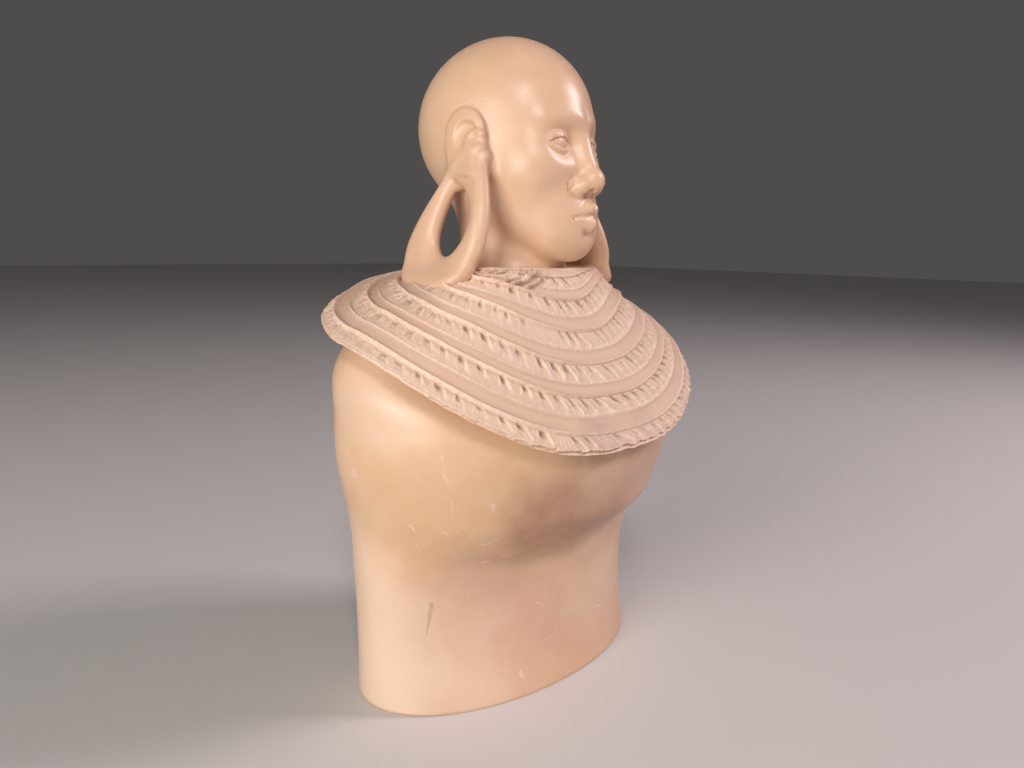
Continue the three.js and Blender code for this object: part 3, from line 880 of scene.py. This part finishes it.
def clay_loop(side):
    """Clay for a lobe's loop: a ring moved onto the slab between its outline and its hole."""
    tube = 0.25
    bpy.ops.mesh.primitive_torus_add(
        major_segments=48, minor_segments=12, major_radius=1.0, minor_radius=tube
    )
    lump = bpy.context.object
    unit = read_points(lump) * MM
    around = np.arctan2(unit[:, 1], unit[:, 0])
    out = (np.hypot(unit[:, 0], unit[:, 1]) - 1) / tube
    edges = []
    for curve in (LOOP_HOLE, LOOP_OUTLINE):
        z = curve["middle"] + curve["height"] * np.sin(around)
        shift, half = teardrop(curve, z)
        edges.append(np.column_stack((shift + half * np.cos(around), z)))
    share = (1 + np.sign(out) * np.abs(out) ** 0.7) / 2
    along, z = between(*edges, share[:, None]).T
    x, y = loop_middle(side, z)
    thick = sizes().loop_thickness / MM * (1 + 0.9 * smooth_step(z, 102.0, 94.0))
    write_points(lump, np.column_stack((x + unit[:, 2] / tube * thick / 2, y + along, z)))
    return [lump]


def clay_neck():
    """Clay for the neck: a leaning column."""
    bpy.ops.mesh.primitive_cylinder_add(vertices=48, radius=1.0, depth=1.0)
    column = bpy.context.object
    x, y, up = (read_points(column) * MM + np.array((0, 0, 0.5))).T
    write_points(column, np.column_stack((
        x * NECK["radius"],
        y * NECK["radius"] + between(NECK["base_y"], NECK["top_y"], up),
        between(NECK["bottom"], NECK["top"], up) + NECK["above_bottom"],
    )))
    return [column]


class BUST_OT_head(bpy.types.Operator):
    """Builds the head, neck, ears and lobe loops up in clay and settles them to one blended form"""

    bl_idname = "bust.head"
    bl_label = "Head"

    def execute(self, context):
        bpy.ops.object.select_all(action="DESELECT")
        lumps = []
        for join, shape, at, size, _, both in HEAD_FORMS:
            if join == "add":
                lumps += (clay_ball if shape == "oval" else clay_limb)(at, size, both)
        lumps += clay_ball((EAR["x"] - 0.2, EAR["y"], EAR["z"]), (1.7, EAR["length"], EAR["height"]), True)
        lumps += clay_ball(LOBE["at"], LOBE["size"], True)
        lumps += clay_loop(-1) + clay_loop(1) + clay_neck()
        only(*lumps)
        bpy.ops.object.join()
        piece = context.object
        piece.name = "bust_head"
        piece.data.remesh_voxel_size = sizes().clay_size
        piece.data.remesh_voxel_adaptivity = 0
        bpy.ops.object.voxel_remesh()
        settle(piece, 4, detail=False)
        relax(piece, 3)
        settle(piece, 3, detail=False)
        split_within(piece, FACE_AND_EARS)
        settle(piece, 4)
        relax(piece, 1)
        settle(piece, 3)
        split_within(piece, EYES_MOUTH_NOSE)
        settle(piece, 4)
        outward(piece)
        return {"FINISHED"}


# Stone

# Broad patches of each colour: angle and height on the torso, reach in millimetres and strength. The honey,
# rose and milk patches are clouds of the stone's own tone, placed so that they also paint light: honey the
# warm light on the figure's right, rose the pink light on its front and left, milk the brighter light on its
# right shoulder and side and low on the front. The warm brown patches are painted shade under the chest's
# overhang and painted shadow under the collar's rim.
PAINTED_LIGHT_AND_TONE_PATCHES = {
    "honey": ((200, 58, 16, 0.45), (222, 45, 18, 0.7), (240, 60, 15, 0.6)),
    "rose": ((278, 52, 22, 0.7), (300, 14, 26, 0.35), (262, 15, 16, 0.5)),
    "milk": (
        (190, 74, 15, 0.5), (190, 8, 26, 0.85), (225, 10, 20, 0.35), (170, 30, 20, 0.6), (300, 20, 20, 0.5),
    ),
    # Painted shade: the first three patches darken the underside of the chest, the last two paint the shadow
    # under the collar's rim.
    "umber": (
        (254, 43, 17, 0.75), (272, 40, 13, 0.55), (296, 37, 10, 0.35), (262, 63, 8, 0.6), (278, 65, 8, 0.45),
    ),
}

# Marks on the torso: angle round it and height, from one end to the other, half width and strength
PALE_MARKS = (
    (216, 62, 217, 58, 0.32, 0.5), (217, 58, 219, 55.5, 0.28, 0.5), (219, 52, 220, 48, 0.24, 0.4),
    (231.5, 51, 232, 49.5, 0.60, 0.5), (205.5, 46, 210, 43.5, 0.32, 0.6), (217.5, 45, 222, 43, 0.28, 0.5),
    (232, 41, 237.5, 43, 0.26, 0.7), (236.5, 34.8, 239.3, 35, 0.40, 1.0), (242.5, 36, 250, 35, 0.28, 0.9),
    (254.5, 35.8, 269, 33, 0.18, 0.5), (230, 33, 236, 34, 0.20, 0.4), (208, 41.5, 211, 38.5, 0.28, 0.4),
    (233, 27, 237, 29, 0.20, 0.5), (252.5, 6, 253.5, 4, 0.44, 0.8), (184, 56, 184.5, 54.5, 1.00, 0.6),
    (261, 20.5, 266, 19, 0.20, 0.5), (258, 37, 286, 35, 0.16, 0.5), (307, 23.2, 321, 23, 0.32, 1.0),
    (287, 21, 299, 20.8, 0.20, 0.5), (294, 12.2, 298, 10.5, 0.28, 0.8), (264, 11, 271, 10, 0.18, 0.4),
    (222, 45, 230, 41.5, 0.16, 0.5), (222, 31, 227, 29, 0.14, 0.4), (246, 30, 249, 27, 0.14, 0.4),
)
DARK_MARKS = ((219, 25.8, 216, 18, 0.55, 1.0), (227, 47, 229, 46, 0.14, 0.6), (236, 61, 238, 60, 0.14, 0.6))

# Scratches: how densely they lie, half width in millimetres and amount
SCRATCHES = ((130.0, 0.12, 0.8), (260.0, 0.08, 0.6), (75.0, 0.10, 0.6))

# How much of a colour lies on the stone where its mask is full, and how much duller the stone is there
LAID = {
    "honey": 0.35, "rose": 0.4, "mottle": 0.12, "carved": 0.45, "scratches": 0.6, "grime_and_shade": 0.6, "pores": 0.05,
    "pale_marks": 0.95, "dark_marks": 0.35,
}
DULLER = {"patches": 0.22, "scratches": 0.25}

# Relief of the stone's grain and pits, in millimetres
GRAIN = {"polished": 0.02, "carved": 0.16, "pits": 0.02}


class Wiring:
    """Adds nodes to a tree in few words."""

    def __init__(self, tree):
        self.tree = tree
        self.count = 0

    def feed(self, socket, value):
        if isinstance(value, bpy.types.NodeSocket):
            self.tree.links.new(value, socket)
        else:
            socket.default_value = value

    def node(self, kind, settings=None, values=(), **inputs):
        """A node of a kind: the values feed its first sockets, and the inputs feed those of their names."""
        made = self.tree.nodes.new(kind)
        made.location = (200 * (self.count % 12), -220 * (self.count // 12))
        self.count += 1
        for key, value in (settings or {}).items():
            setattr(made, key, value)
        for socket, value in zip(made.inputs, values):
            self.feed(socket, value)
        for name, value in inputs.items():
            self.feed(made.inputs[name.replace("_", " ")], value)
        return made

    def math(self, operation, *values, clamp=False):
        return self.node("ShaderNodeMath", {"operation": operation, "use_clamp": clamp}, values).outputs[0]

    def times(self, first, *others):
        for other in others:
            first = self.math("MULTIPLY", first, other)
        return first

    def strongest(self, first, *others):
        for other in others:
            first = self.math("MAXIMUM", first, other)
        return first

    def vector(self, operation, *values, **inputs):
        made = self.node("ShaderNodeVectorMath", {"operation": operation}, values, **inputs)
        return made.outputs["Value" if operation in ("DOT_PRODUCT", "DISTANCE") else "Vector"]

    def lay(self, mask, under, over):
        """Lays a colour over what is there, where the mask is."""
        made = self.node("ShaderNodeMix", {"data_type": "RGBA"})
        for place, value in ((0, mask), (6, under), (7, (*over, 1))):
            self.feed(made.inputs[place], value)
        return made.outputs[2]

    def ramp(self, value, low, high):
        settings = {"interpolation_type": "SMOOTHSTEP"}
        return self.node("ShaderNodeMapRange", settings, (value, low, high)).outputs[0]

    def noise(self, place, scale, detail=4.0, roughness=0.55):
        inputs = {"Vector": place, "Scale": scale, "Detail": detail, "Roughness": roughness}
        return self.node("ShaderNodeTexNoise", **inputs).outputs[0]

    def moved_about(self, place, scale, detail, reach):
        """The place, moved about by a soft noise."""
        noise = self.node("ShaderNodeTexNoise", Vector=place, Scale=scale, Detail=detail).outputs[1]
        return self.vector("MULTIPLY_ADD", self.vector("SUBTRACT", noise, (0.5,) * 3), (reach,) * 3, place)

    def group(self, tree, **inputs):
        return self.node("ShaderNodeGroup", {"node_tree": tree}, **inputs).outputs

    def put_out(self, *masks):
        """Ends a group with its masks."""
        self.node("NodeGroupOutput", None, masks)
        return self.tree


def new_group(name, inputs, masks):
    """The wiring of a new group and the sockets of its inputs. An input without a value is a place."""
    tree = bpy.data.node_groups.new(name, "ShaderNodeTree")
    for socket, value in inputs.items():
        kind = "NodeSocketVector" if value is None else "NodeSocketFloat"
        made = tree.interface.new_socket(name=socket, in_out="INPUT", socket_type=kind)
        if value is not None:
            made.default_value = value
    for mask in masks:
        tree.interface.new_socket(name=mask, in_out="OUTPUT", socket_type="NodeSocketFloat")
    w = Wiring(tree)
    return w, *w.node("NodeGroupInput").outputs[:len(inputs)]


def clouds_group():
    """Soft clouds in the stone: two masks at different places."""
    w, place, size = new_group("Stone clouds", {"Place": None, "Size": 30.0}, ("First", "Second"))
    moved = w.node("ShaderNodeMapping", Vector=place, Location=(0.37, 0.11, 0.23)).outputs[0]
    first = w.ramp(w.noise(place, size, 3.0), 0.42, 0.66)
    return w.put_out(first, w.ramp(w.noise(moved, size), 0.44, 0.68))


def pores_group():
    """Small round pores, scattered thinly."""
    w, place, density = new_group("Stone pores", {"Place": None, "Density": 350.0}, ("Pores",))
    cells = w.node("ShaderNodeTexVoronoi", Vector=place, Scale=density).outputs
    pit = w.ramp(cells["Distance"], 0.24, 0.06)
    pick = w.node("ShaderNodeSeparateColor", None, (cells["Color"],)).outputs[0]
    patchy = w.ramp(w.noise(place, 70.0, 2.0), 0.48, 0.62)
    return w.put_out(w.times(pit, w.ramp(pick, 0.90, 0.93), patchy))


def scratches_group():
    """Short straight scratches, one in each chosen cell of the stone, each turned its own way."""
    w, place, density, width, amount = new_group(
        "Scratches", {"Place": None, "Density": 150.0, "Width": 0.0001, "Amount": 0.5}, ("Scratches",)
    )
    cells = w.node("ShaderNodeTexVoronoi", Vector=place, Scale=density).outputs
    gap = w.vector("SUBTRACT", place, cells["Position"])
    lean = w.vector("NORMALIZE", w.vector("SUBTRACT", cells["Color"], (0.5,) * 3))
    off = w.math("DIVIDE", w.math("ABSOLUTE", w.vector("DOT_PRODUCT", gap, lean)), width)
    short = w.ramp(cells["Distance"], 0.50, 0.38)
    pick = w.node("ShaderNodeSeparateColor", None, (cells["Color"],)).outputs[2]
    return w.put_out(w.times(w.ramp(off, 1.0, 0.2), short, w.ramp(pick, 0.62, 0.80), amount))


def mark_group():
    """One mark between two places on the stone, as a mask that fades at its sides."""
    w, place, begin, finish, width, strength = new_group(
        "Mark", {"Place": None, "From": None, "To": None, "Width": 0.0003, "Strength": 1.0}, ("Mark",)
    )
    way = w.vector("SUBTRACT", finish, begin)
    gap = w.vector("SUBTRACT", place, begin)
    along = w.math("DIVIDE", w.vector("DOT_PRODUCT", gap, way), w.vector("DOT_PRODUCT", way, way), clamp=True)
    apart = w.vector("DISTANCE", gap, w.vector("SCALE", way, Scale=along))
    thin = w.times(width, w.math("SUBTRACT", 1.25, along))
    return w.put_out(w.times(w.ramp(w.math("DIVIDE", apart, thin), 1.3, 0.3), strength))


def light_and_tone_patch_group():
    """A broad soft patch round one place, as a mask, for the stone's tone and for painted light and shade."""
    w, place, middle, reach, strength = new_group(
        "Light and tone patch", {"Place": None, "Middle": None, "Reach": 0.02, "Strength": 1.0}, ("Light and tone patch",)
    )
    off = w.math("DIVIDE", w.vector("DISTANCE", place, middle), reach)
    return w.put_out(w.times(w.ramp(off, 1.2, 0.1), strength))


def on_torso(angle, height):
    """A place on the torso in metres, by its angle in degrees and its height in millimetres."""
    return tuple(torso_surface(np.radians([angle]), np.array([height], dtype=float))[0] * MM)


def marks_mask(w, place, one_mark, marks):
    """All the marks of a list as one mask."""
    return w.strongest(*(
        w.group(
            one_mark, Place=place, From=on_torso(*ends[:2]), To=on_torso(*ends[2:]), Width=width * MM,
            Strength=strength,
        )[0]
        for *ends, width, strength in marks
    ))


def stone_colour(w, place, masks):
    """Cream stone under clouds, placed patches of tone that also paint light and shade, carving, chalk that
    also paints highlight, scratches, grime that also paints shade, and marks.
    """
    values = bpy.context.scene.bust_finish
    clouds = w.group(clouds_group(), Place=place, Size=26.0)
    colour = w.lay(w.times(clouds[0], LAID["honey"]), (*values.cream, 1), values.honey)
    colour = w.lay(w.times(clouds[1], LAID["rose"]), colour, values.rose)
    drift = w.moved_about(place, 60.0, 3.0, 0.03)
    # Placed patches: the stone's tone, with painted light and the painted shade under the chest and the
    # collar's rim.
    one_patch = light_and_tone_patch_group()
    for name, patch_list in PAINTED_LIGHT_AND_TONE_PATCHES.items():
        for angle, height, reach, strength in patch_list:
            inputs = {"Place": drift, "Middle": on_torso(angle, height), "Reach": reach * MM}
            patch_mask = w.group(one_patch, Strength=strength, **inputs)[0]
            colour = w.lay(patch_mask, colour, getattr(values, name))
    bent = w.moved_about(place, 300.0, 2.0, 0.0012)
    one_mark = mark_group()
    broken = w.math("MULTIPLY_ADD", w.ramp(w.noise(place, 1400.0, 2.0), 0.35, 0.55), 0.7, 0.3)
    masks["pale_marks"] = w.times(marks_mask(w, bent, one_mark, PALE_MARKS), broken)
    masks["dark_marks"] = marks_mask(w, bent, one_mark, DARK_MARKS)
    masks["mottle"] = w.ramp(w.noise(place, 210.0, 6.0, 0.6), 0.3, 0.75)
    powder = w.ramp(w.noise(place, 900.0, 4.0, 0.6), 0.35, 0.65)
    powdered = w.math("MULTIPLY", masks["chalk_and_highlight"], w.math("MULTIPLY_ADD", powder, 0.5, 0.45), clamp=True)
    colour = w.lay(w.times(masks["mottle"], LAID["mottle"]), colour, values.chalk_and_highlight)
    colour = w.lay(w.times(masks["carved"], LAID["carved"]), colour, values.bruised)
    # Chalk on the collar's edges and chips, also painted highlight along its ridges.
    colour = w.lay(powdered, colour, values.chalk_and_highlight)
    # Grime in the dirt colour is dirt and painted shade in the collar's pits, gutters and gouges.
    for name, over in (
        ("scratches", values.chalk_and_highlight), ("grime_and_shade", values.dirt_and_shade), ("pores", values.dirt_and_shade),
        ("pale_marks", values.chalk_and_highlight), ("dark_marks", values.dirt_and_shade),
    ):
        colour = w.lay(w.times(masks[name], LAID[name]), colour, over)
    return colour


def stone_roughness(w, place, masks):
    values = bpy.context.scene.bust_finish
    rough = w.math("MULTIPLY_ADD", masks["carved"], values.carved - values.polish, values.polish)
    patches = w.math("SUBTRACT", w.noise(place, 55.0, 5.0, 0.6), 0.5)
    rough = w.math("MULTIPLY_ADD", patches, DULLER["patches"], rough)
    return w.math("MULTIPLY_ADD", masks["scratches"], DULLER["scratches"], rough, clamp=True)


def stone_bump(w, place, masks):
    """The grain of the stone, deeper where it was carved, with its pores and scratches."""
    coarse = w.times(w.noise(place, 330.0, 3.0, 0.5), 0.65)
    grain = w.math("MULTIPLY_ADD", w.noise(place, 1500.0, 4.0, 0.6), 0.35, coarse)
    depth = w.math("MULTIPLY_ADD", masks["carved"], GRAIN["carved"] * MM, GRAIN["polished"] * MM)
    height = w.times(grain, depth)
    for name in ("pores", "scratches"):
        height = w.math("MULTIPLY_ADD", masks[name], -GRAIN["pits"] * MM, height)
    return w.node("ShaderNodeBump", Height=height, Strength=1.0, Distance=1.0).outputs[0]


def stone_material():
    material = bpy.data.materials.new("soapstone")
    material.use_nodes = True
    material.node_tree.nodes.clear()
    w = Wiring(material.node_tree)
    place = w.node("ShaderNodeTexCoord").outputs["Object"]
    masks = {
        name: w.node("ShaderNodeAttribute", {"attribute_name": name}).outputs["Fac"]
        for name in ("carved", "grime_and_shade", "chalk_and_highlight")
    }
    masks["pores"] = w.group(pores_group(), Place=place, Density=620.0)[0]
    one_scratch = scratches_group()
    scratches = w.strongest(*(
        w.group(one_scratch, Place=place, Density=density, Width=width * MM, Amount=amount)[0]
        for density, width, amount in SCRATCHES
    ))
    masks["scratches"] = w.times(scratches, w.ramp(w.noise(place, 90.0, 2.0), 0.40, 0.60))
    parts = {
        "Base Color": stone_colour(w, place, masks),
        "Roughness": stone_roughness(w, place, masks),
        "Normal": stone_bump(w, place, masks),
        "Specular IOR Level": 0.5,
    }
    shader = w.node("ShaderNodeBsdfPrincipled", **parts)
    w.node("ShaderNodeOutputMaterial", None, (shader.outputs[0],))
    return material


class BUST_OT_finish(bpy.types.Operator):
    """Gives torso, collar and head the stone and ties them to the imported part"""

    bl_idname = "bust.finish"
    bl_label = "Finish the stone"

    def execute(self, context):
        stone = stone_material()
        for name in ("bust_torso", "bust_collar", "bust_head"):
            piece = named_piece(name)
            only(piece)
            bpy.ops.object.shade_smooth_by_angle(angle=math.radians(50))
            piece.data.materials.append(stone)
            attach(piece, "root")
            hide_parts("stone_bust")
        return {"FINISHED"}


# Studio

CAMERA = {
    "place": (-0.13379, -0.14100, 0.10375), "lens": 28.125, "sensor": 36,
    "azimuth": math.radians(-44), "down": math.radians(9.994), "roll": math.radians(1.003),
}

# Soft lights, aimed at the bust's middle: colour, power, width and height, and place in metres
LIGHTS = {
    "key": ((1.0, 0.945, 0.875), 6.9, (0.50, 0.60), (-0.83, -0.22, 0.20)),
    "window": ((1.0, 0.94, 0.96), 2.3, (0.14, 0.18), (-0.42, -0.52, 0.62)),
    "side": ((1.0, 0.84, 0.88), 3.8, (0.20, 0.24), (0.56, -0.44, 0.56)),
}
LIGHTS_AIM = Vector((0.0, 0.0, 0.08))
ROOM_COLOUR, ROOM_LIGHT = (0.96, 0.92, 0.90, 1), 0.08


def pale_floor(values):
    bpy.ops.mesh.primitive_plane_add(size=values.floor_size)
    floor = bpy.context.object
    floor.name = "studio_floor"
    material = bpy.data.materials.new("pale_floor")
    material.use_nodes = True
    shader = material.node_tree.nodes["Principled BSDF"]
    shader.inputs["Base Color"].default_value = (*values.floor_colour, 1)
    shader.inputs["Roughness"].default_value = 0.8
    floor.data.materials.append(material)


def soft_lights():
    for name, (colour, power, size, place) in LIGHTS.items():
        bpy.ops.object.light_add(type="AREA", location=place)
        light = bpy.context.object
        light.name = name
        light.data.color = colour
        light.data.energy = power
        light.data.shape = "RECTANGLE"
        light.data.size, light.data.size_y = size
        light.rotation_euler = (LIGHTS_AIM - Vector(place)).to_track_quat("-Z", "Y").to_euler()
    world = bpy.data.worlds.new("soft_studio")
    world.use_nodes = True
    world.node_tree.nodes["Background"].inputs["Color"].default_value = ROOM_COLOUR
    world.node_tree.nodes["Background"].inputs["Strength"].default_value = ROOM_LIGHT
    bpy.context.scene.world = world


def photograph_camera():
    lens = bpy.data.cameras.new("camera")
    lens.lens = CAMERA["lens"]
    lens.sensor_width = CAMERA["sensor"]
    lens.sensor_fit = "HORIZONTAL"
    lens.clip_start = 0.005
    camera = bpy.data.objects.new("camera", lens)
    bpy.context.scene.collection.objects.link(camera)
    turn = Matrix.Rotation(CAMERA["azimuth"], 4, "Z") @ Matrix.Rotation(math.pi / 2 - CAMERA["down"], 4, "X")
    turn = turn @ Matrix.Rotation(CAMERA["roll"], 4, "Z")
    camera.matrix_world = Matrix.Translation(CAMERA["place"]) @ turn
    bpy.context.scene.camera = camera


class BUST_OT_stage(bpy.types.Operator):
    """Sets the pale floor, the soft studio lights and the camera"""

    bl_idname = "bust.stage"
    bl_label = "Studio"

    def execute(self, context):
        bpy.ops.object.select_all(action="DESELECT")
        pale_floor(context.scene.bust_studio)
        soft_lights()
        photograph_camera()
        context.scene.view_settings.view_transform = "Standard"
        return {"FINISHED"}


class BUST_PT_panel(bpy.types.Panel):
    bl_idname = "BUST_PT_panel"
    bl_label = "Carved stone bust"
    bl_space_type = "VIEW_3D"
    bl_region_type = "UI"
    bl_category = "Bust"

    def draw(self, context):
        for name in GROUPS:
            group = getattr(context.scene, name)
            for key in group.__annotations__:
                self.layout.prop(group, key)
        for step in STEPS:
            self.layout.operator(step.bl_idname)


GROUPS = {"bust_sizes": CarvingSizes, "bust_finish": StoneFinish, "bust_studio": StudioSizes}
STEPS = (BUST_OT_torso, BUST_OT_collar, BUST_OT_head, BUST_OT_finish, BUST_OT_stage)
CLASSES = (*GROUPS.values(), *STEPS, BUST_PT_panel)


def register():
    for item in CLASSES:
        bpy.utils.register_class(item)
    for name, group in GROUPS.items():
        setattr(bpy.types.Scene, name, PointerProperty(type=group))


def unregister():
    for name in GROUPS:
        delattr(bpy.types.Scene, name)
    for item in reversed(CLASSES):
        bpy.utils.unregister_class(item)


def plain(box):
    return [[float(value) for value in corner] for corner in box]


def main():
    register()
    bpy.ops.bust.torso()
    bpy.ops.bust.collar()
    bpy.ops.bust.head()
    bpy.ops.bust.finish()
    bpy.ops.bust.stage()


if __name__ == "__main__":
    main()
